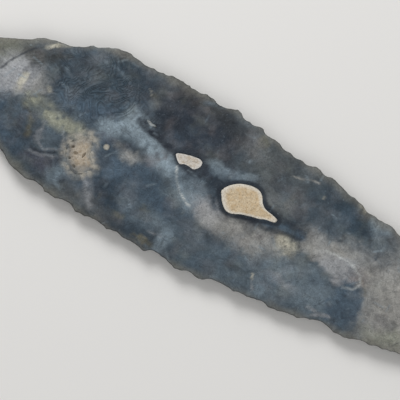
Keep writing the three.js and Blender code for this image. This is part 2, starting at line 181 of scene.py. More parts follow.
# Each row: distance between scars, sizes, length and its cap as a share of the half width, depth,
# how shallow the struck end is, lean and its scatter in radians, bend, share that ends in a step,
# reach as a share of the half length, and first number of the scatter
TOP_FIRST = dict(
    pitch=21, sizes=(0.8, 1.2), length=38, span=1.6, depth=0.55, heel=0.9,
    lean=0.3, lean_scatter=0.35, bend=0.3, steps=0, reach=0.8, seed=101)
TOP_THINNING = dict(
    pitch=9, sizes=(0.6, 1.5), length=24, span=1.15, depth=0.75, heel=0.85,
    lean=0.38, lean_scatter=0.22, bend=0.4, steps=0.2, reach=0.96, seed=11)
TOP_RETOUCH = dict(
    pitch=3.4, sizes=(0.6, 1.6), length=5.2, span=0.45, depth=0.32, heel=0,
    lean=0.15, lean_scatter=0.35, bend=0.2, steps=0.15, reach=0.985, seed=6011)
LOWER_FIRST = dict(
    pitch=23, sizes=(0.8, 1.2), length=24, span=0.85, depth=0.45, heel=0.9,
    lean=-0.2, lean_scatter=0.3, bend=0.3, steps=0, reach=0.8, seed=2201)
LOWER_THINNING = dict(
    pitch=9.5, sizes=(0.6, 1.5), length=18, span=0.78, depth=0.75, heel=0.85,
    lean=-0.3, lean_scatter=0.22, bend=0.4, steps=0.15, reach=0.96, seed=3011)
LOWER_RETOUCH = dict(
    pitch=3.6, sizes=(0.6, 1.6), length=5, span=0.45, depth=0.3, heel=0,
    lean=-0.1, lean_scatter=0.35, bend=0.2, steps=0.1, reach=0.985, seed=9011)
BASE_SCAR = dict(length=28, half_width=5.3, depth=0.7, heel=0.4)
BASE_STRIKES = [(3, 0.16, 0.95), (-1.2, -0.02, 1.15), (-5, -0.2, 0.9)]
STEP_ALONG = -0.74
STEP_TURN = -1.14
STEP_SCAR = dict(length=5.2, half_width=6, depth=0.75, heel=0.2, end=STEPPED, bend=0)


def edge_row(side, row):
    """Scars along one edge, from base to tip: side is 1 for the left edge and -1 for the right one."""
    scars = []
    reach = HALF_LENGTH * row["reach"]
    number = row["seed"] + NUMBERS_PER_SIDE * (side + 1) // 2
    x = -reach
    while x < reach:
        half_width = float(blank_half_width(x, side))
        lean = row["lean"] + between(-row["lean_scatter"], row["lean_scatter"], number + 1)
        size = between(*row["sizes"], number + 2)
        length = row["length"] * between(*LENGTH_SCATTER, number + 3)
        depth = row["depth"] * (LEAST_DEPTH_SHARE + (1 - LEAST_DEPTH_SHARE) * size)
        stepped = scatter(number + 5) < row["steps"]
        scars.append(dict(
            x=x, y=side * half_width, dir_x=-side * math.sin(lean), dir_y=-side * math.cos(lean),
            length=min(length, row["span"] * half_width),
            half_width=row["pitch"] * size * WIDTH_PER_PITCH,
            depth=depth * between(*DEPTH_SCATTER, number + 4),
            heel=row["heel"], end=STEPPED if stepped else FEATHERED,
            bend=between(-row["bend"], row["bend"], number + 6)))
        x += row["pitch"] * size * between(*PITCH_SCATTER, number + 7)
        number += NUMBERS_PER_SCAR
    return scars


def base_row(mirror):
    return [dict(
        x=-HALF_LENGTH, y=mirror * across, dir_x=math.cos(turn), dir_y=mirror * math.sin(turn),
        length=BASE_SCAR["length"] * size, half_width=BASE_SCAR["half_width"] * size,
        depth=BASE_SCAR["depth"] * size, heel=BASE_SCAR["heel"], end=FEATHERED, bend=0)
        for across, turn, size in BASE_STRIKES]


def step_scar():
    x = STEP_ALONG * HALF_LENGTH
    y = float(blank_half_width(x, 1))
    return dict(x=x, y=y, dir_x=math.cos(STEP_TURN), dir_y=math.sin(STEP_TURN), **STEP_SCAR)


def both_edges(row):
    return edge_row(1, row) + edge_row(-1, row)


# The layers of each face, in the order in which they are struck
TOP_FLAKING = [
    both_edges(TOP_FIRST),
    both_edges(TOP_THINNING) + base_row(1),
    both_edges(TOP_RETOUCH) + [step_scar()],
]
LOWER_FLAKING = [
    both_edges(LOWER_FIRST),
    both_edges(LOWER_THINNING) + base_row(-1),
    both_edges(LOWER_RETOUCH),
]
THINNING_LAYER = 1


def scar_depth(scar, x, y):
    """Depth that one scar takes off at each place."""
    dx = x - scar["x"]
    dy = y - scar["y"]
    along = np.maximum((dx * scar["dir_x"] + dy * scar["dir_y"]) / scar["length"], 0)
    across = (dx * scar["dir_y"] - dy * scar["dir_x"]) / scar["half_width"] + scar["bend"] * along ** 2
    heel = 1 - scar["heel"] * ((CREST - along) / CREST) ** 2
    run_out = 1 - (np.maximum(along - CREST, 0) / (1 - CREST)) ** scar["end"]
    body = np.where(along < CREST, heel, run_out)
    inside = (along <= 1) & (np.abs(across) <= 1)
    return np.where(inside, np.maximum(scar["depth"] * (body - across ** 2), 0), 0)


def flaked_depth(flaking, x, y):
    """Depth that all layers take off. In each layer only the deepest scar counts."""
    total = np.zeros(np.shape(x))
    for layer in flaking:
        deepest = np.zeros(np.shape(x))
        for scar in layer:
            deepest = np.maximum(deepest, scar_depth(scar, x, y))
        total += deepest
    return total * crown_share(x)


def ripples(flaking, x, y):
    """Rings round the point where each thinning scar was struck, in the scar that shows there."""
    deepest = np.zeros(np.shape(x))
    height = np.zeros(np.shape(x))
    for number, scar in enumerate(flaking[THINNING_LAYER]):
        depth = scar_depth(scar, x, y)
        away = np.hypot(x - scar["x"], y - scar["y"])
        spacing = RIPPLE_SPACING * between(*RIPPLE_SPACING_SCATTER, number)
        ring = np.sin(2 * np.pi * away / spacing) * between(*RIPPLE_STRENGTHS, number + 0.5)
        height = np.where(depth > deepest, ring, height)
        deepest = np.maximum(deepest, depth)
    return RIPPLE_HEIGHT * height * np.clip(deepest / FULL_RIPPLE_DEPTH, 0, 1)


# Smooth noise on a grid of seeded numbers

NOISE_TABLE = 64
NOISE_SHIFT = 1000


def value_noise(x, y, size, seed):
    """Noise from -1 to 1 that changes smoothly over the given size. NOISE_SHIFT keeps places above 0."""
    table = np.random.default_rng(seed).random((NOISE_TABLE, NOISE_TABLE))
    u = np.asarray(x) / size + NOISE_SHIFT
    v = np.asarray(y) / size + NOISE_SHIFT
    i = np.floor(u).astype(int)
    j = np.floor(v).astype(int)
    fu = u - i
    fv = v - j
    fu = fu * fu * (3 - 2 * fu)
    fv = fv * fv * (3 - 2 * fv)
    i0, i1 = i % NOISE_TABLE, (i + 1) % NOISE_TABLE
    j0, j1 = j % NOISE_TABLE, (j + 1) % NOISE_TABLE
    low = table[i0, j0] * (1 - fu) + table[i1, j0] * fu
    high = table[i0, j1] * (1 - fu) + table[i1, j1] * fu
    return (low * (1 - fv) + high * fv) * 2 - 1


def layered_noise(x, y, size, seed, layers=3):
    """Noise with finer layers on it, each half the size and half the height of the one before."""
    total = 0
    for layer in range(layers):
        total = total + value_noise(x, y, size / 2 ** layer, seed + layer) / 2 ** layer
    return total / (2 - 2.0 ** (1 - layers))


# Heights of the two faces

def lens_share(x, y):
    return 1 - (np.abs(y) / blank_half_width(x, y)) ** SECTION_FULLNESS


def edge_wave(x, waves):
    return sum(share * np.sin(x * pace + start) for pace, start, share in waves)


def edge_height(x, y):
    """Height of the middle of the blade, which wanders up and down towards the edges."""
    wave = np.where(np.asarray(y) >= 0, edge_wave(x, LEFT_EDGE_WAVES), edge_wave(x, RIGHT_EDGE_WAVES))
    near_edge = (np.abs(y) / blank_half_width(x, y)) ** EDGE_WAVE_POWER
    return EDGE_HEIGHT + EDGE_WANDER * crown_share(x) * wave * near_edge


def top_height(x, y):
    blank = edge_height(x, y) + TOP_CROWN * crown_share(x) * lens_share(x, y)
    return blank - flaked_depth(TOP_FLAKING, x, y)


def lower_height(x, y):
    """Height of the lower face, cut flat at 0 where the blade rests."""
    blank = edge_height(x, y) - LOWER_CROWN * crown_share(x) * lens_share(x, y)
    return np.maximum(blank + flaked_depth(LOWER_FLAKING, x, y), 0)


def cutting_edge(x, side):
    """Where the two faces meet on one side, which is the edge that the flaking leaves."""
    outside = side * blank_half_width(x, side)
    inside = outside * EDGE_SEARCH_START
    for step in range(EDGE_HALVINGS):
        middle = (inside + outside) / 2
        stone = top_height(x, middle) > lower_height(x, middle)
        inside = np.where(stone, middle, inside)
        outside = np.where(stone, outside, middle)
    return (inside + outside) / 2


# Mesh of the chert

def face_grid(side, rows, x, left, right):
    """Points of one face, column by column: side is 1 for the upper face and -1 for the lower one."""
    across = np.linspace(-1, 1, rows + 1)[None, :]
    y = np.where(across >= 0, across * left[:, None], -across * right[:, None])
    x = np.repeat(x[:, None], rows + 1, axis=1)
    top = top_height(x, y)
    lower = lower_height(x, y)
    thickness = top - lower
    half = np.maximum(thickness, LEAST_THICKNESS) / 2
    flaking = TOP_FLAKING if side > 0 else LOWER_FLAKING
    grain = (layered_noise(x, y, GRAIN_SIZE, GRAIN_SEED + side) - 1) * GRAIN_HEIGHT
    relief = np.clip(thickness / RELIEF_FADE, 0, 1) * (ripples(flaking, x, y) + grain)
    z = np.maximum((top + lower) / 2 + side * (half + relief), 0)
    z[:, 0] = top[:, 0]
    z[:, -1] = top[:, -1]
    return np.stack([x, y, z], axis=2)


def grid_triangles(ids):
    """Two triangles for each cell of a grid of point numbers, less those that name a point twice."""
    a, b, c, d = ids[:-1, :-1], ids[1:, :-1], ids[1:, 1:], ids[:-1, 1:]
    first = np.stack([a, b, c], axis=2).reshape(-1, 3)
    second = np.stack([a, c, d], axis=2).reshape(-1, 3)
    both = np.concatenate([first, second])
    whole = (both[:, 0] != both[:, 1]) & (both[:, 1] != both[:, 2]) & (both[:, 2] != both[:, 0])
    return both[whole]


def chert_arrays():
    """Points and triangles of the stone: its two ends, then the upper face, then the lower one."""
    share = np.arange(1, COLUMNS) / COLUMNS
    x = HALF_LENGTH * ((2 * share - 1) * (1 - END_CROWDING) - np.cos(np.pi * share) * END_CROWDING)
    left = cutting_edge(x, 1)
    right = cutting_edge(x, -1)
    top = face_grid(1, TOP_ROWS, x, left, right)
    lower = face_grid(-1, LOWER_ROWS, x, left, right)[:, 1:-1]
    ends = np.array([(-HALF_LENGTH, 0, EDGE_HEIGHT), (HALF_LENGTH, 0, EDGE_HEIGHT)])
    points = np.concatenate([ends, top.reshape(-1, 3), lower.reshape(-1, 3)])
    inner = COLUMNS - 1
    first_top = len(ends)
    top_ids = np.zeros((COLUMNS + 1, TOP_ROWS + 1), int)
    top_ids[-1] = 1
    top_ids[1:-1] = first_top + np.arange(inner * (TOP_ROWS + 1)).reshape(inner, -1)
    first_lower = first_top + inner * (TOP_ROWS + 1)
    lower_ids = np.zeros((COLUMNS + 1, LOWER_ROWS + 1), int)
    lower_ids[-1] = 1
    lower_ids[1:-1, 1:-1] = first_lower + np.arange(inner * (LOWER_ROWS - 1)).reshape(inner, -1)
    lower_ids[1:-1, 0] = top_ids[1:-1, 0]
    lower_ids[1:-1, -1] = top_ids[1:-1, -1]
    faces = np.concatenate([grid_triangles(top_ids), grid_triangles(lower_ids)[:, ::-1]])
    return points, faces.tolist()


def drawn_to_packed(points):
    """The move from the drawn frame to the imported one, whose origin is under the middle of the blade."""
    middle_y = (points[:, 1].min() + points[:, 1].max()) / 2
    return np.array([0, -middle_y, -points[:, 2].min()])


def add_object(name, data):
    added = bpy.data.objects.new(name, data)
    bpy.context.scene.collection.objects.link(added)
    return added


def new_object(name, points, faces):
    mesh = bpy.data.meshes.new(name)
    mesh.from_pydata(points.tolist(), [], faces)
    mesh.validate()
    mesh.update()
    return add_object(name, mesh)


# Chalk inclusions: place as shares of the half length and half width, depth, how far the face lies
# below the chert, width of the seam round it, seed of its grain, and the outline in millimetres from
# the place

CHALKS = {
    "large_chalk_nodule": dict(
        along=-0.137, across=0.1, depth=3.2, recess=0.12, seam=0.06, seed=3,
        outline=[
            (-8.3, -0.4), (-7.6, -1.6), (-6.3, -3.4), (-4.3, -4.9), (-2.4, -4.9), (0, -3.8), (3, -2.9),
            (5.5, -2.3), (7.5, -1.5), (10.3, -0.9), (10.6, 0), (9, 0.6), (6, 1.2), (4.4, 2.3),
            (3.2, 4.1), (1.6, 5.2), (-1, 5.3), (-3.9, 4.4), (-6.2, 2.9), (-7.8, 1)]),
    "small_chalk_nodule": dict(
        along=-0.314, across=0.21, depth=2.2, recess=0.12, seam=0.06, seed=5,
        outline=[
            (-4.2, 0), (-3.3, -1.3), (-1.8, -2.2), (-0.6, -1.6), (0.8, -1.5), (2.6, -1.6), (3.9, -0.2),
            (4, 1.3), (3, 1.9), (1, 1.8), (-1.2, 1.3)]),
    "porous_chalk_nodule": dict(
        along=-0.556, across=-0.33, depth=2.6, recess=0, seam=0.01, seed=7,
        outline=[
            (-4.7, -0.5), (-3.9, -2.8), (-2, -4.9), (0.4, -6), (2.3, -5.6), (3.9, -4), (5.2, -2.4),
            (4, -1), (2.5, 0.4), (2, 2.4), (1.3, 4.6), (0, 6), (-1.6, 5.3), (-3.2, 3.3), (-4.4, 1.6)]),
    "round_chalk_fleck": dict(
        along=-0.509, across=-0.12, depth=1.2, recess=0, seam=0.02, seed=9,
        outline=[
            (-1.1, 0.1), (-0.8, -0.8), (0.1, -1.1), (0.9, -0.7), (1.1, 0.2), (0.6, 1), (-0.4, 1)]),
    "vein_chalk_fleck": dict(
        along=-0.44, across=0.37, depth=0.9, recess=0.02, seam=0.02, seed=11,
        outline=[
            (-1.9, 0.5), (-1.2, -0.1), (-0.2, -0.7), (0.9, -0.6), (2, -0.1), (1.6, 0.4), (0.3, 0.4),
            (-0.9, 0.8)]),
}

# Pits of the porous nodule: place in it, length, width, and turn in radians
PITS = [
    (0.9, -0.2, 2, 0.8, 1.45), (-1.6, -0.9, 1.5, 1.2, 0.4), (-3.1, 0.5, 1, 0.8, 0.9),
    (-0.2, -4.6, 1.4, 0.8, -0.6), (-2.5, -3, 0.9, 0.7, 0.2),
]
PIT_DEPTH = 0.8

# The bowl under each inclusion: share of its depth, and size of the outline there
BOWL = [(0.35, 1), (0.7, 0.94), (0.9, 0.82), (1, 0.66)]
ABOVE_FACE = 2
STEPS_PER_POINT = 8
CHALK_RINGS = 22

# Relief of the chalk: fine grain, crumbs that fell out, and hollows in the porous nodule
CHALK_GRAIN = dict(height=0.09, size=1.1, sink=0.4)
CRUMBS = dict(depth=0.135, size=0.7, start=0.55, seed=20)
HOLLOWS = dict(depth=0.35, size=1.6, start=0.15, seed=77)


def chalk_place(chalk):
    half_width = LEFT_HALF_WIDTH if chalk["across"] > 0 else RIGHT_HALF_WIDTH
    return np.array([chalk["along"] * HALF_LENGTH, chalk["across"] * half_width])


def closed_curve(corners):
    """A smooth closed curve through the corners, with its knots spaced by the root of their distance."""
    count = len(corners)
    points = []
    for i in range(count):
        p0, p1, p2, p3 = (corners[(i + k) % count] for k in (-1, 0, 1, 2))
        gaps = [math.sqrt(np.hypot(*(q - p))) for p, q in ((p0, p1), (p1, p2), (p2, p3))]
        start = ((p1 - p0) / gaps[0] - (p2 - p0) / (gaps[0] + gaps[1]) + (p2 - p1) / gaps[1]) * gaps[1]
        end = ((p2 - p1) / gaps[1] - (p3 - p1) / (gaps[1] + gaps[2]) + (p3 - p2) / gaps[2]) * gaps[1]
        for t in np.arange(STEPS_PER_POINT) / STEPS_PER_POINT:
            points.append(
                p1 * (2 * t ** 3 - 3 * t ** 2 + 1) + start * (t ** 3 - 2 * t ** 2 + t)
                + p2 * (3 * t ** 2 - 2 * t ** 3) + end * (t ** 3 - t ** 2))
    return np.array(points)


def chalk_outline(chalk, size=1, gap=0):
    """Outline of an inclusion round its place, at a share of its size, and moved out by the gap."""
    points = closed_curve(np.array(chalk["outline"], float) * size)
    heading = np.roll(points, -1, axis=0) - np.roll(points, 1, axis=0)
    heading /= np.hypot(heading[:, 0], heading[:, 1])[:, None]
    return points + gap * np.stack([heading[:, 1], -heading[:, 0]], axis=1)


def level_ring(outline, height):
    return np.column_stack([outline, np.full(len(outline), height)])


def closed_skin(rings, size):
    """Faces of a closed solid with a flat bottom and top, through rings of so many points each."""
    faces = [list(range(size))[::-1]]
    for i in range(rings - 1):
        for j in range(size):
            k = (j + 1) % size
            faces.append([i * size + j, i * size + k, (i + 1) * size + k, (i + 1) * size + j])
    faces.append([(rings - 1) * size + j for j in range(size)])
    return faces


def seat_cutter(name, chalk):
    """The solid that cuts an inclusion's seat: its bowl with the seam, up past the face of the stone."""
    place = chalk_place(chalk)
    face = float(top_height(*place))
    depth = chalk["depth"] + chalk["seam"]
    levels = [(face - share * depth, size) for share, size in reversed(BOWL)] + [(face + ABOVE_FACE, 1)]
    rings = [
        level_ring(chalk_outline(chalk, size, chalk["seam"]) + place, height)
        for height, size in levels]
    return new_object(name + "_seat", np.concatenate(rings), closed_skin(len(rings), len(rings[0])))


def pit_depth(px, py):
    """Depth of the porous nodule's pits, each half of an ellipsoid."""
    depth = np.zeros(np.shape(px))
    for x, y, length, width, turn in PITS:
        u = ((px - x) * math.cos(turn) + (py - y) * math.sin(turn)) / (length / 2)
        v = ((py - y) * math.cos(turn) - (px - x) * math.sin(turn)) / (width / 2)
        depth = np.maximum(depth, PIT_DEPTH * np.sqrt(np.maximum(1 - u * u - v * v, 0)))
    return depth


def chalk_height(name, chalk, ring, place):
    """Height of an inclusion's crumbly face, which follows the stone a little lower."""
    x, y = (ring + place).T
    grain = layered_noise(x, y, CHALK_GRAIN["size"], chalk["seed"]) - CHALK_GRAIN["sink"]
    crumbs = value_noise(x, y, CRUMBS["size"], chalk["seed"] + CRUMBS["seed"]) > CRUMBS["start"]
    height = top_height(x, y) - chalk["recess"] + CHALK_GRAIN["height"] * grain
    height = height - CRUMBS["depth"] * crumbs
    if name == "porous_chalk_nodule":
        hollows = layered_noise(x, y, HOLLOWS["size"], HOLLOWS["seed"]) - HOLLOWS["start"]
        height = height - pit_depth(*ring.T) - HOLLOWS["depth"] * np.maximum(hollows, 0)
    return height


def chalk_piece(name, chalk):
    """A chalk inclusion: a bowl, and rings that close in over it to the middle of its face."""
    place = chalk_place(chalk)
    bottom = float(top_height(*place))
    rings = [
        level_ring(chalk_outline(chalk, wall), bottom - share * chalk["depth"])
        for share, wall in reversed(BOWL)]
    rim = chalk_outline(chalk)
    size = len(rim)
    face_shares = np.arange(CHALK_RINGS, 0, -1) / CHALK_RINGS
    for share in face_shares:
        ring = rim * share
        rings.append(np.column_stack([ring, chalk_height(name, chalk, ring, place)]))
    middle = np.array([[0, 0, rings[-1][:, 2].mean()]])
    points = np.concatenate(rings + [middle]) + (*place, 0)
    last = (len(rings) - 1) * size
    faces = closed_skin(len(rings), size)[:-1]
    faces += [[last + j, last + (j + 1) % size, len(points) - 1] for j in range(size)]
    piece = new_object(name + "_face", points, faces)
    outwards = np.ones(len(points))
    outwards[len(BOWL) * size:-1] = np.repeat(face_shares, size)
    outwards[-1] = 0
    store_value(piece.data, "outwards", outwards)
    store_colour(piece.data, top_colour(points[:, 0], points[:, 1]))
    return piece


# Colour of the chert: soft patches and lines laid over a slate ground, each with a named colour

COLOURS = {
    "slate": (39, 46, 55), "dark slate": (36, 42, 50), "blue slate": (52, 65, 75), "blue": (70, 86, 100),
    "pale blue": (104, 117, 126), "mist": (126, 140, 149), "lilac grey": (152, 154, 157),
    "purple grey": (74, 76, 88), "beige grey": (148, 147, 143), "grey": (97, 101, 103),
    "olive grey": (98, 100, 90), "olive": (80, 85, 86), "brown": (54, 55, 54),
    "olive yellow": (142, 144, 130), "ochre": (104, 98, 78), "cream": (188, 184, 168),
    "white": (196, 200, 198), "porous rim": (160, 156, 146), "pink grey": (138, 126, 122),
    "edge": (118, 116, 108),
}

# The ground is blue slate with spots of these colours: colour, seed, and shape of the spots
GROUND = [
    ("grey", 0, dict(size=16, gain=1, level=0)),
    ("slate", 0, dict(size=16, gain=-1.6, level=0)),
    ("olive", 5, dict(size=22, gain=1.4, level=-0.2, most=0.7)),
    ("mist", 9, dict(size=11, gain=3, level=-0.9, most=0.8, layers=4)),
    ("ochre", 14, dict(size=7, gain=3, level=-1.3, most=0.6, layers=4)),
]
TOP_SEED = 500
LOWER_SEED = 700

# Patches: colour, strength, middle, half length, half width, turn in degrees, softness
PATCHES = [
    ("blue", 0.85, -57, -8, 30, 8, 0, 0.8),
    ("pale blue", 0.6, -1, -15, 30, 9, 6, 0.8),
    ("olive grey", 0.9, -102, 10, 9, 7, 40, 0.5),
    ("lilac grey", 0.95, -95, 2.5, 8, 6.5, 60, 0.6),
    ("beige grey", 0.55, -87.2, 4.2, 3.8, 5.2, -20, 0.5),
    ("brown", 0.85, -90.6, 13.2, 7, 3.4, 30, 0.6),
    ("blue slate", 0.95, -72, 12.5, 15.5, 9.6, 8, 0.3),
    ("blue", 0.95, -72, 4.4, 10, 3.2, 0, 0.8),
    ("blue", 0.9, -91, -12, 8, 8, 0, 0.6),
    ("brown", 0.5, -84.5, -11, 4.6, 4, 0, 0.7),
    ("purple grey", 0.8, -75.5, -17, 6, 3, 0, 0.6),
    ("pale blue", 0.5, -76.5, -8.5, 5, 4.4, 0, 0.6),
    ("grey", 0.55, -60, -21, 11, 2.4, 2, 0.8),
    ("pale blue", 0.8, -40, -15, 8, 3, 0, 0.8),
    ("pale blue", 1, -71, -16.5, 2.3, 4.6, -10, 0.6),
    ("mist", 0.6, -69, -20, 1.6, 1, 0, 0.8),
    ("dark slate", 0.55, -57, -13.5, 4, 1.8, 10, 0.8),
    ("purple grey", 0.6, -61.5, -0.5, 2.8, 2.4, 0, 0.8),
    ("mist", 0.68, -57.2, 8.4, 3.4, 2.5, 0, 0.8),
    ("beige grey", 0.75, -54, -1.5, 3, 2, 0, 0.8),
    ("pink grey", 0.5, -46, 0, 3, 2.2, 0, 0.9),
    ("slate", 1, -40, 15.4, 17, 9.6, -2, 0.35),
    ("brown", 0.6, -41, 22.2, 12, 2.8, -2, 0.8),
    ("dark slate", 0.95, -46.5, 10.6, 5, 3, 20, 0.8),
    ("mist", 0.82, -28, 7.3, 4.4, 2.2, 0, 0.6),
    ("mist", 0.7, -20.5, 9.6, 3, 1.7, 10, 0.6),
    ("mist", 0.75, -33.5, -2.6, 6.4, 4.2, -35, 0.6),
    ("lilac grey", 1, -24, -5.5, 6.4, 3.2, -10, 0.6),
    ("beige grey", 0.9, -11.5, -6.4, 13, 3.8, 2, 0.7),
    ("grey", 0.9, -9, 9, 7, 5, 0, 0.7),
    ("olive", 0.85, -15, 16.5, 12, 6, -6, 0.7),
    ("blue slate", 0.95, 10, 11.4, 13, 6.4, -12, 0.5),
    ("beige grey", 0.95, 24, 2, 17, 5.4, -6, 0.6),
    ("grey", 0.75, 66, 3, 16, 14, 8, 0.85),
    ("olive grey", 0.7, 78, -4, 11, 6, -6, 0.8),
    ("beige grey", 1, 47, -1, 18, 22, 0, 0.5),
    ("blue slate", 0.85, 8, 7.6, 6, 2.6, -8, 0.6),
    ("beige grey", 0.75, 7.5, 0.6, 4.4, 2.4, -10, 0.8),
    ("lilac grey", 0.8, 17.5, -1.2, 7.6, 3.3, -10, 0.4),
    ("pink grey", 0.55, 24, -1.4, 2.4, 2.6, 0, 0.8),
    ("cream", 1, -0.2, -2.8, 3, 2.7, 0, 0.7),
    ("pale blue", 0.9, 9, -10.5, 14, 5.5, -4, 0.6),
    ("blue", 0.82, 24.4, -10.5, 5.6, 7.2, 8, 0.25),
    ("olive yellow", 0.8, 40, -13.2, 6, 3, 12, 0.8),
    ("lilac grey", 0.5, 4, -13, 5, 1.2, 4, 0.8),
    ("olive grey", 0.6, -43, -13.5, 1.6, 1, 0, 0.8),
    ("olive grey", 0.6, -49, -18.3, 1.8, 1, 0, 0.8),
    ("ochre", 0.7, -38, -22.7, 2, 1.1, 0, 0.8),
    ("cream", 0.5, -57, 18.3, 0.5, 0.4, 0, 0.8),
    ("cream", 0.8, 14.5, 16.7, 1.5, 0.7, -20, 0.7),
    ("cream", 0.5, 2.7, 14.3, 0.4, 0.4, 0, 0.8),
    ("cream", 0.45, -84, 3.5, 0.8, 1.1, 0, 0.8),
    ("dark slate", 0.8, -87.5, -5, 1, 0.8, 0, 0.8),
    ("dark slate", 0.8, 25.3, 6.8, 0.9, 0.6, 0, 0.8),
    ("dark slate", 0.7, 21, 11, 0.8, 0.6, 0, 0.8),
    ("dark slate", 0.8, -0.6, -2.7, 0.35, 0.35, 0, 0.6),
]

# Lines: colour, strength, width, softness, points
LINES = [
    ("dark slate", 0.75, 0.6, 0.8, [(-100.3, 2.5), (-98, 7.5), (-95, 12), (-94, 12.8)]),
    ("cream", 0.95, 1.1, 0.7, [(-91.5, 14.5), (-89, 16.5), (-85.5, 18.8)]),
    ("brown", 0.6, 2.4, 0.9, [(-91, 11.6), (-87, 13.8), (-84, 15.4)]),
    ("cream", 0.8, 2.2, 0.8, [(-93, -0.8), (-93, 1.5), (-92.6, 3.8)]),
    ("dark slate", 0.6, 0.7, 0.7, [(-88, -1), (-85, 1.5)]),
    ("pale blue", 0.6, 1, 0.9, [(-74, 19.5), (-70, 19.2), (-66, 18)]),
    ("olive yellow", 1, 4.4, 0.8, [(-88, -1.5), (-82, -2.2), (-79, -3.3), (-71, -3)]),
    ("ochre", 0.5, 2, 0.9, [(-85.5, -5), (-84.4, -8), (-84, -11)]),
    ("dark slate", 0.7, 0.8, 0.7, [(-81, -14), (-78, -14), (-75, -12.5), (-72, -11)]),
    ("lilac grey", 0.36, 0.9, 0.9, [(-81, -15), (-78, -15), (-74.6, -13.5), (-71.6, -12)]),
    ("lilac grey", 0.5, 2.4, 0.9, [(-64, -12), (-61, -15), (-58.5, -19), (-57, -21)]),
    ("mist", 0.95, 5.2, 0.75, [
        (-64, 2), (-60, 4), (-57, 7.2), (-54, 5.6), (-50, 3.6), (-46, 2.4), (-42, 0.4)]),
    ("dark slate", 1, 2.4, 0.5, [(-56, 9), (-53, 7.5), (-49, 7.2), (-45.5, 6), (-42.5, 5.7)]),
    ("dark slate", 0.9, 2, 0.6, [(-42, 6), (-40, 7.5), (-36, 8.3), (-33.5, 8), (-32, 6), (-31.5, 4.5)]),
    ("slate", 0.9, 2.4, 0.8, [(-39, 3.4), (-36, 2.6), (-33, 3), (-31.5, 4.5)]),
    ("slate", 0.35, 3, 0.8, [(-26.6, -0.6), (-26.8, 1.5), (-25.6, 3.8)]),
    ("dark slate", 0.85, 2.2, 0.45, [(-12, 5), (-10, 4.2), (-6, 3.7), (-2, 3), (3, 2.5)]),
    ("blue", 0.8, 2.6, 0.8, [(-9, 0.6), (-4, 1.4), (3, 1.7)]),
    ("dark slate", 0.7, 1.3, 0.6, [(-13, -1.2), (-8, -1.5), (-3, 0), (3, 0.9)]),
    ("white", 0.75, 0.5, 0.8, [
        (-40, 2.5), (-38.7, 0), (-37.5, -2), (-35.5, -4), (-33, -5.5), (-31, -6.5)]),
    ("beige grey", 0.75, 0.5, 0.8, [(-8, 16.5), (-5, 17), (-2.5, 18.2), (0, 18.4)]),
    ("white", 0.42, 0.7, 0.8, [
        (10, 1.5), (15, 2.2), (20, 1.6), (24, 0), (25.3, -2.3), (24, -4.5), (21, -5.5)]),
    ("ochre", 0.5, 0.8, 0.8, [(25.5, -1), (28, -4)]),
    ("cream", 0.7, 0.6, 0.7, [(-4.5, -15), (-4, -16.7)]),
    ("lilac grey", 0.6, 0.6, 0.7, [(-3.8, -17), (-2, -19.5)]),
    ("lilac grey", 0.6, 0.9, 0.8, [(15, -15.5), (18, -15.9), (22, -15.2)]),
    ("lilac grey", 0.6, 0.8, 0.8, [(17, -17.3), (20, -16)]),
    ("mist", 0.7, 0.4, 0.8, [(-48, -13.5), (-46.2, -15.5)]),
    ("lilac grey", 0.5, 0.7, 0.8, [(-38, -19), (-34, -18.8)]),
    ("pale blue", 0.5, 1.2, 0.9, [(-42, 23), (-39, 24.2), (-36, 24.6)]),
    ("dark slate", 0.6, 0.7, 0.7, [(13, 6.2), (14.4, 6.6), (14.6, 7.8), (13.6, 8)]),
]

# Lines fade in and out along their way, dark ones less than the others
LINE_BREAKS = dict(size=1.3, seed=340, gain=0.8, level=0.8, layers=1)
FAINTEST_LINE = 0.3
FAINTEST_DARK_LINE = 0.7

# How patches and lines wander from the shapes listed here: reach, size, seed and layers of the noise
PATCH_WANDER = [(2.4, 6, 300, 4), (0.7, 0.9, 301, 1)]
LINE_WANDER = [(0.35, 1.6, 320, 3)]
WANDER_SEED_STEP = 10

# Faint changes of hue all over: colour, size of a patch, strength and seed
TINGES = [
    ("lilac grey", 6, 0.13, 600), ("olive yellow", 5, 0.12, 610), ("blue", 7, 0.3, 620),
    ("slate", 4, 0.4, 630), ("pink grey", 4, 0.1, 640),
]
TINGE_SPOTS = dict(gain=2.4, level=-0.25, layers=4)

# A ring-like fossil, short scratches, and the rims round the inclusions: a dark band of painted shade
# along the seam of the large and small nodules, and a pale rim round the porous one
FOSSIL = dict(x=-78, y=-8.5, radius=4.4, half_width=0.5, softness=0.9, strength=0.34)
SCRATCHES = dict(
    count=260, seed=2024, lengths=(0.6, 4), strengths=(0.15, 0.5), widths=(0.3, 0.6), softness=0.9,
    margin=1, dark_every=3)
SEAM_SHADE_WIDTHS = {"large_chalk_nodule": 2.5, "small_chalk_nodule": 1.6}
SEAM_SHADE = dict(strength=0.85, softness=0.3)
POROUS_RIM = dict(width=3, softness=0.95)
POROUS_FLECKS = dict(size=1.4, seed=360, gain=1.2, level=0.7, least=0.3)

# The painted light that shows through the thin edge, as a lighter band along it, and the lighter and
# darker mottling: height, size and seed
THIN_EDGE_LIGHT = dict(width=2.8, softness=0.6, strength=0.6, size=3, seed=900)
MOTTLES = [(0.2, 2.6, 910), (0.14, 8, 920)]

# Where fine ripples show, as bumps and as painted shade in the colour: middle, half length, half width,
# turn and softness, and how faint elsewhere
RIPPLED_PATCH = (-71, 12, 17, 10.5, 8, 0.3)
FAINT_RIPPLES = 0.12
RIPPLE_SPOTS = dict(size=5, seed=950, gain=1, level=0.6)


def linear(colour):
    """The light that a colour of the usual 0 to 255 scale stands for, from 0 to 1."""
    value = np.array(colour) / 255
    return np.where(value <= 0.04045, value / 12.92, ((value + 0.055) / 1.055) ** 2.4)


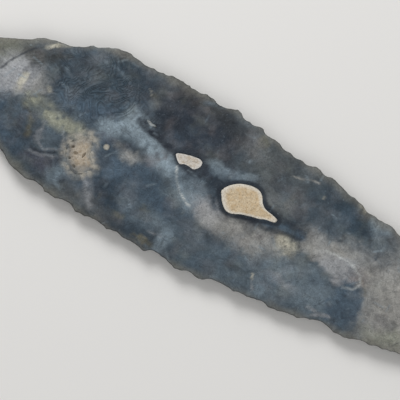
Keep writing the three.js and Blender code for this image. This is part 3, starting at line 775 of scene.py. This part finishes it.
def fall_off(distance, softness):
    """1 well inside, 0 well outside, and half at a distance of 1."""
    t = np.clip((1 + softness - distance) / (2 * softness), 0, 1)
    return t * t * (3 - 2 * t)


def spots(x, y, size, seed, gain, level, least=0, most=1, layers=3):
    """A noise that is stretched, raised or lowered, and cut off, for use as a mask."""
    return np.clip(level + gain * layered_noise(x, y, size, seed, layers), least, most)


def patch_mask(x, y, cx, cy, half_length, half_width, turn, softness):
    angle = math.radians(turn)
    u = ((x - cx) * math.cos(angle) + (y - cy) * math.sin(angle)) / half_length
    v = ((y - cy) * math.cos(angle) - (x - cx) * math.sin(angle)) / half_width
    return fall_off(np.hypot(u, v), softness)


def line_mask(x, y, points, width, softness):
    """1 on the line through the points, falling off at half its width."""
    nearest = np.full(np.shape(x), np.inf)
    for (ax, ay), (bx, by) in zip(points[:-1], points[1:]):
        along = ((x - ax) * (bx - ax) + (y - ay) * (by - ay)) / ((bx - ax) ** 2 + (by - ay) ** 2)
        along = np.clip(along, 0, 1)
        nearest = np.minimum(nearest, np.hypot(x - ax - along * (bx - ax), y - ay - along * (by - ay)))
    return fall_off(nearest / (width / 2), softness)


def wandered(x, y, wanders):
    """Places moved about by noises, which gives what is painted at them a natural outline."""
    moved_x = x
    moved_y = y
    for reach, size, seed, layers in wanders:
        moved_x = moved_x + reach * layered_noise(x, y, size, seed, layers)
        moved_y = moved_y + reach * layered_noise(x, y, size, seed + WANDER_SEED_STEP, layers)
    return moved_x, moved_y


def lay(colour, name, mask):
    """The colours with a named one laid over them where the mask is above 0."""
    return colour + (linear(COLOURS[name]) - colour) * mask[:, None]


def ground(x, y, seed):
    """Colour of the chert where nothing is painted on it: cloudy slate, blue and grey."""
    colour = np.tile(linear(COLOURS["blue slate"]), (len(x), 1))
    for name, spot_seed, shape in GROUND:
        colour = lay(colour, name, spots(x, y, seed=seed + spot_seed, **shape))
    return colour


def scratched(colour, x, y):
    """The colours with short pale and dark marks scattered over them."""
    random = np.random.default_rng(SCRATCHES["seed"])
    for number in range(SCRATCHES["count"]):
        ax = random.uniform(-HALF_LENGTH, HALF_LENGTH)
        ay = random.uniform(-LEFT_HALF_WIDTH, LEFT_HALF_WIDTH)
        turn = random.uniform(0, np.pi)
        length = random.uniform(*SCRATCHES["lengths"])
        strength = random.uniform(*SCRATCHES["strengths"])
        width = random.uniform(*SCRATCHES["widths"])
        ends = [(ax, ay), (ax + length * math.cos(turn), ay + length * math.sin(turn))]
        reach = length + SCRATCHES["margin"]
        near = np.flatnonzero((np.abs(x - ax) < reach) & (np.abs(y - ay) < reach))
        mark = line_mask(x[near], y[near], ends, width, SCRATCHES["softness"])
        name = "mist" if number % SCRATCHES["dark_every"] else "dark slate"
        colour[near] = lay(colour[near], name, strength * mark)
    return colour


def rim_mask(x, y, name, width, softness):
    outline = chalk_outline(CHALKS[name]) + chalk_place(CHALKS[name])
    return line_mask(x, y, np.concatenate([outline, outline[:1]]), width, softness)


def top_colour(x, y):
    """Colour of the upper face: ground, patches, tinges, fossil, lines, scratches, the painted shade along
    the seams of the large and small nodules, and the porous rim.
    """
    colour = ground(x, y, TOP_SEED)
    patch_x, patch_y = wandered(x, y, PATCH_WANDER)
    for name, strength, *shape in PATCHES:
        colour = lay(colour, name, strength * patch_mask(patch_x, patch_y, *shape))
    for name, size, strength, seed in TINGES:
        colour = lay(colour, name, strength * spots(x, y, size, seed, **TINGE_SPOTS))
    from_ring = np.abs(np.hypot(patch_x - FOSSIL["x"], patch_y - FOSSIL["y"]) - FOSSIL["radius"])
    ring = fall_off(from_ring / FOSSIL["half_width"], FOSSIL["softness"])
    colour = lay(colour, "lilac grey", FOSSIL["strength"] * ring)
    line_x, line_y = wandered(x, y, LINE_WANDER)
    for name, strength, width, softness, points in LINES:
        faintest = FAINTEST_DARK_LINE if "slate" in name else FAINTEST_LINE
        shown = strength * spots(x, y, least=faintest, **LINE_BREAKS)
        colour = lay(colour, name, shown * line_mask(line_x, line_y, points, width, softness))
    colour = scratched(colour, x, y)
    # Painted shade: a dark band along the seam round the large and small chalk nodules, where the seam's
    # shadow would fall.
    for name, width in SEAM_SHADE_WIDTHS.items():
        rim = rim_mask(line_x, line_y, name, width, SEAM_SHADE["softness"])
        colour = lay(colour, "dark slate", SEAM_SHADE["strength"] * rim)
    rim = rim_mask(line_x, line_y, "porous_chalk_nodule", **POROUS_RIM)
    return lay(colour, "porous rim", rim * spots(x, y, **POROUS_FLECKS))


def chert_colour(points, upwards):
    """Colour of the whole stone, with a lighter band along its edge, which is painted light showing
    through the thin stone, and a mottling all over.
    """
    x, y = points[:, 0], points[:, 1]
    colour = np.where(upwards[:, None], top_colour(x, y), ground(x, -y, LOWER_SEED))
    # Painted light: a lighter band along the edge, where light would show through the thin translucent
    # stone.
    from_edge = blank_half_width(x, y) - np.abs(y)
    from_edge = from_edge + layered_noise(x, y, THIN_EDGE_LIGHT["size"], THIN_EDGE_LIGHT["seed"])
    edge = THIN_EDGE_LIGHT["strength"] * fall_off(from_edge / THIN_EDGE_LIGHT["width"], THIN_EDGE_LIGHT["softness"])
    mottle = 1 + sum(height * layered_noise(x, y, size, seed) for height, size, seed in MOTTLES)
    return lay(colour, "edge", edge) * mottle[:, None]


# Materials

# Nearly all of a noise lies in this range
NOISE_RANGE = (0.3, 0.7)
CONTOURS = 24
CHERT_SPECULAR = 0.16
CHALK_SPECULAR = 0.2

# Colour of each inclusion's face, of its rim, and the share of the way out at which the rim starts.
# Where no rim colour is given, the inclusion passes over into the chert round it.
CHALK_COLOURS = {
    "large_chalk_nodule": ((205, 188, 160), (214, 208, 196), 0.78),
    "small_chalk_nodule": ((196, 190, 181), (206, 203, 197), 0.7),
    "porous_chalk_nodule": ((183, 174, 160), None, 0.5),
    "round_chalk_fleck": ((172, 170, 160), None, 0.5),
    "vein_chalk_fleck": ((150, 156, 158), None, 0.4),
}
STAIN_TINT = (0.86, 0.78, 0.66)
CRUMB_SHADE = (112, 98, 78)

# The rim of an inclusion is ragged: share of noise in its place, a shift outwards, and where it is full
RAGGEDNESS = 0.22
RIM_SHIFT = 0.08
RIM_FULL = 0.86


class Nodes:
    """A material, with a small helper that makes its shader nodes and joins them."""

    def __init__(self, name):
        self.material = bpy.data.materials.new(name)
        self.material.use_nodes = True
        self.tree = self.material.node_tree
        self.shader = self.tree.nodes["Principled BSDF"]
        self.place = self.make("ShaderNodeTexCoord").outputs["Object"]

    def make(self, kind, **values):
        node = self.tree.nodes.new(kind)
        for name, value in values.items():
            setattr(node, name, value)
        return node

    def fill(self, node, inputs, values):
        """Gives inputs of a node their values: plain numbers and colours, or outputs of other nodes."""
        for name, value in zip(inputs, values):
            if isinstance(value, (int, float, tuple)):
                node.inputs[name].default_value = value
            else:
                self.tree.links.new(value, node.inputs[name])

    def attribute(self, name, output):
        return self.make("ShaderNodeAttribute", attribute_name=name).outputs[output]

    def noise(self, size, detail=4, roughness=0.6, distortion=0.0):
        """Noise of a size in millimetres."""
        node = self.make("ShaderNodeTexNoise")
        inputs = ("Vector", "Scale", "Detail", "Roughness", "Distortion")
        self.fill(node, inputs, (self.place, 1 / (size * MM), detail, roughness, distortion))
        return node.outputs["Fac"]

    def math(self, operation, *values):
        node = self.make("ShaderNodeMath", operation=operation)
        self.fill(node, range(len(values)), values)
        return node.outputs[0]

    def contours(self, value, count):
        """Waves that follow the level lines of a noise, as ripples in a flake scar do."""
        return self.math("SINE", self.math("MULTIPLY", value, count * 2 * math.pi))

    def thin_lines(self, value, width, strength):
        """A mask of the fine wandering lines at which a noise crosses its middle value."""
        apart = self.math("ABSOLUTE", self.math("SUBTRACT", value, 0.5))
        return self.span(apart, (0, width), (strength, 0))

    def span(self, value, from_range, to_range):
        node = self.make("ShaderNodeMapRange")
        inputs = ("Value", "From Min", "From Max", "To Min", "To Max")
        self.fill(node, inputs, (value, *from_range, *to_range))
        return node.outputs["Result"]

    def mix(self, factor, first, second, blend="MIX"):
        """Inputs 6 and 7 of this node are its two colours."""
        node = self.make("ShaderNodeMix", data_type="RGBA", blend_type=blend)
        self.fill(node, (0, 6, 7), (factor, first, second))
        return node.outputs[2]

    def shade(self, colour, value, from_range, to_range):
        """The colour made darker and lighter by a value."""
        return self.mix(1.0, colour, self.span(value, from_range, to_range), "MULTIPLY")

    def tint(self, colour, mask, over):
        """The colour with another one over it where the mask says."""
        return self.mix(mask, colour, (*linear(over), 1))

    def bump(self, height, strength, distance, below=None):
        """Normals for a relief of a height in millimetres, on top of those of another bump."""
        node = self.make("ShaderNodeBump")
        self.fill(node, ("Height", "Strength", "Distance"), (height, strength, distance * MM))
        if below is not None:
            self.fill(node, ["Normal"], [below])
        return node.outputs["Normal"]

    def finish(self, colour, roughness, normal, specular):
        inputs = ("Base Color", "Roughness", "Normal", "Specular IOR Level")
        self.fill(self.shader, inputs, (colour, roughness, normal, specular))
        return self.material


def chert_material():
    nodes = Nodes("knapped_chert")
    colour = nodes.attribute("stone_colour", "Color")
    clouds = nodes.noise(size=2.2, detail=7, roughness=0.75, distortion=1.2)
    colour = nodes.shade(colour, clouds, NOISE_RANGE, (0.7, 1.3))
    grain = nodes.noise(size=0.45, detail=3, roughness=0.75)
    colour = nodes.shade(colour, grain, NOISE_RANGE, (0.8, 1.2))
    levels = nodes.noise(size=12, detail=2.5, roughness=0.45, distortion=0.8)
    ripple = nodes.math("MULTIPLY", nodes.contours(levels, CONTOURS), nodes.attribute("rippled", "Fac"))
    # Painted shade: the colour darkens and lightens along the ripple rings, standing in for the shading of
    # their relief, which the bump below also gives.
    colour = nodes.shade(colour, ripple, (-1, 1), (0.8, 1.28))
    wisps = nodes.noise(size=1.6, detail=5, roughness=0.7, distortion=2.5)
    colour = nodes.tint(colour, nodes.span(wisps, (0.6, 0.72), (0, 0.4)), COLOURS["mist"])
    cracks = nodes.noise(size=5, detail=5, roughness=0.6, distortion=0.8)
    cracks = nodes.thin_lines(cracks, width=0.009, strength=0.5)
    colour = nodes.tint(colour, cracks, COLOURS["dark slate"])
    polish = nodes.noise(size=3.5, detail=4, roughness=0.6)
    rings = nodes.bump(ripple, strength=0.7, distance=0.12)
    coarse = nodes.noise(size=1.6, detail=5, roughness=0.65, distortion=0.4)
    normal = nodes.bump(coarse, strength=0.8, distance=0.25, below=rings)
    fine = nodes.noise(size=0.35, detail=3, roughness=0.7)
    normal = nodes.bump(fine, strength=0.6, distance=0.05, below=normal)
    return nodes.finish(colour, nodes.span(polish, NOISE_RANGE, (0.42, 0.62)), normal, CHERT_SPECULAR)


def chalk_material(name):
    nodes = Nodes(name + "_chalk")
    face, rim, rim_start = CHALK_COLOURS[name]
    stains = nodes.noise(size=1.4, detail=6, roughness=0.7, distortion=0.8)
    stained = (*linear(np.array(face) * STAIN_TINT), 1)
    colour = nodes.mix(nodes.span(stains, (0.42, 0.7), (0, 0.8)), (*linear(face), 1), stained)
    outwards = nodes.attribute("outwards", "Fac")
    ragged = nodes.mix(RAGGEDNESS, outwards, nodes.noise(size=1.3, detail=5, roughness=0.7))
    edge = nodes.span(ragged, (rim_start * (1 - RAGGEDNESS) + RIM_SHIFT, RIM_FULL), (0, 1))
    around = nodes.attribute("stone_colour", "Color")
    colour = nodes.mix(edge, colour, (*linear(rim), 1) if rim else around)
    grain = nodes.noise(size=0.4, detail=3, roughness=0.75)
    colour = nodes.shade(colour, grain, NOISE_RANGE, (0.76, 1.2))
    crumbs = nodes.noise(size=0.55, detail=2, roughness=0.6)
    colour = nodes.tint(colour, nodes.span(crumbs, (0.62, 0.7), (0, 0.55)), CRUMB_SHADE)
    coarse = nodes.noise(size=0.9, detail=5, roughness=0.7)
    normal = nodes.bump(coarse, strength=0.8, distance=0.15)
    fine = nodes.noise(size=0.25, detail=3, roughness=0.7)
    normal = nodes.bump(fine, strength=0.6, distance=0.04, below=normal)
    polish = nodes.noise(size=1.2)
    return nodes.finish(colour, nodes.span(polish, NOISE_RANGE, (0.82, 0.96)), normal, CHALK_SPECULAR)


# Building the pieces

def cut_seats(body, cutters):
    for cutter in cutters:
        cut = body.modifiers.new(cutter.name, "BOOLEAN")
        cut.operation = "DIFFERENCE"
        cut.solver = "EXACT"
        cut.object = cutter
    evaluated = body.evaluated_get(bpy.context.evaluated_depsgraph_get())
    mesh = bpy.data.meshes.new_from_object(evaluated)
    body.modifiers.clear()
    body.data = mesh
    for cutter in cutters:
        bpy.data.objects.remove(cutter)


def mesh_vectors(mesh, name):
    """A vector of each vertex: its place for co, or its normal."""
    vectors = np.empty(len(mesh.vertices) * 3)
    mesh.vertices.foreach_get(name, vectors)
    return vectors.reshape(-1, 3)


def store_value(mesh, name, values):
    mesh.attributes.new(name, "FLOAT", "POINT").data.foreach_set("value", values)


def store_colour(mesh, colour):
    layer = mesh.attributes.new("stone_colour", "FLOAT_COLOR", "POINT")
    shades = np.column_stack([colour, np.ones(len(colour))]).astype(np.float32)
    layer.data.foreach_set("color", shades.ravel())


def paint_chert(mesh):
    points = mesh_vectors(mesh, "co")
    upwards = mesh_vectors(mesh, "normal")[:, 2] >= 0
    store_colour(mesh, chert_colour(points, upwards))
    x, y, height = points.T
    rippled = FAINT_RIPPLES + patch_mask(x, y, *RIPPLED_PATCH) * (height > EDGE_HEIGHT)
    store_value(mesh, "rippled", rippled * spots(x, y, **RIPPLE_SPOTS))


def finish_piece(piece, shift, node, material):
    points = (mesh_vectors(piece.data, "co") + shift) * MM
    piece.data.vertices.foreach_set("co", points.ravel())
    piece.data.materials.clear()
    piece.data.materials.append(material)
    piece.data.shade_smooth()
    piece.data.update()
    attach(piece, "root")
    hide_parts(node)


def build_blade():
    points, faces = chert_arrays()
    shift = drawn_to_packed(points)
    body = new_object("chert_surface", points, faces)
    cut_seats(body, [seat_cutter(name, chalk) for name, chalk in CHALKS.items()])
    paint_chert(body.data)
    finish_piece(body, shift, "chert_body", chert_material())
    for name, chalk in CHALKS.items():
        finish_piece(chalk_piece(name, chalk), shift, name, chalk_material(name))


# Floor, light and camera

# Middle of the picture on the blade, how wide a stretch it shows, its turn in degrees, the lens, and
# the height above the floor that the distance is counted from
VIEW_MIDDLE = (-28.98, -3.77)
VIEW_WIDTH = 120
VIEW_TURN = 29
LENS = 150
SENSOR = 36
BLADE_MIDDLE_HEIGHT = 7
NEAREST_SEEN = 0.01

# Each lamp: name, place and width in metres, and power in watts
LAMPS = [("key", (-0.55, 0.5, 0.6), 0.4, 5.8), ("fill", (0.7, -0.4, 0.8), 0.8, 2.2)]
WORLD_COLOUR = (1, 1, 1, 1)
WORLD_STRENGTH = 0.4
FLOOR_REACH = 3
FLOOR_COLOUR = (0.8, 0.79, 0.77, 1)
FLOOR_ROUGHNESS = 0.95


def make_camera():
    camera = bpy.data.cameras.new("camera")
    camera.lens = LENS
    camera.sensor_width = SENSOR
    camera.clip_start = NEAREST_SEEN
    holder = add_object("camera", camera)
    distance = VIEW_WIDTH * LENS / SENSOR
    holder.location = Vector((*VIEW_MIDDLE, distance + BLADE_MIDDLE_HEIGHT)) * MM
    holder.rotation_euler = (0, 0, math.radians(VIEW_TURN))
    bpy.context.scene.camera = holder


def make_lamp(name, place, size, power):
    """A square lamp that points at the origin."""
    lamp = bpy.data.lights.new(name, "AREA")
    lamp.size = size
    lamp.energy = power
    holder = add_object(name, lamp)
    holder.location = place
    holder.rotation_euler = (-Vector(place)).to_track_quat("-Z", "Y").to_euler()


def make_floor():
    corners = np.array([(-1, -1, 0), (1, -1, 0), (1, 1, 0), (-1, 1, 0)]) * FLOOR_REACH
    floor = new_object("floor", corners, [(0, 1, 2, 3)])
    nodes = Nodes("pale_floor")
    nodes.fill(nodes.shader, ("Base Color", "Roughness"), (FLOOR_COLOUR, FLOOR_ROUGHNESS))
    floor.data.materials.append(nodes.material)


def make_world():
    world = bpy.data.worlds.new("studio")
    bpy.context.scene.world = world
    world.use_nodes = True
    background = world.node_tree.nodes["Background"]
    background.inputs["Color"].default_value = WORLD_COLOUR
    background.inputs["Strength"].default_value = WORLD_STRENGTH


make_camera()
build_blade()
make_floor()
make_world()
for lamp in LAMPS:
    make_lamp(*lamp)
bpy.context.scene.view_settings.view_transform = "Standard"
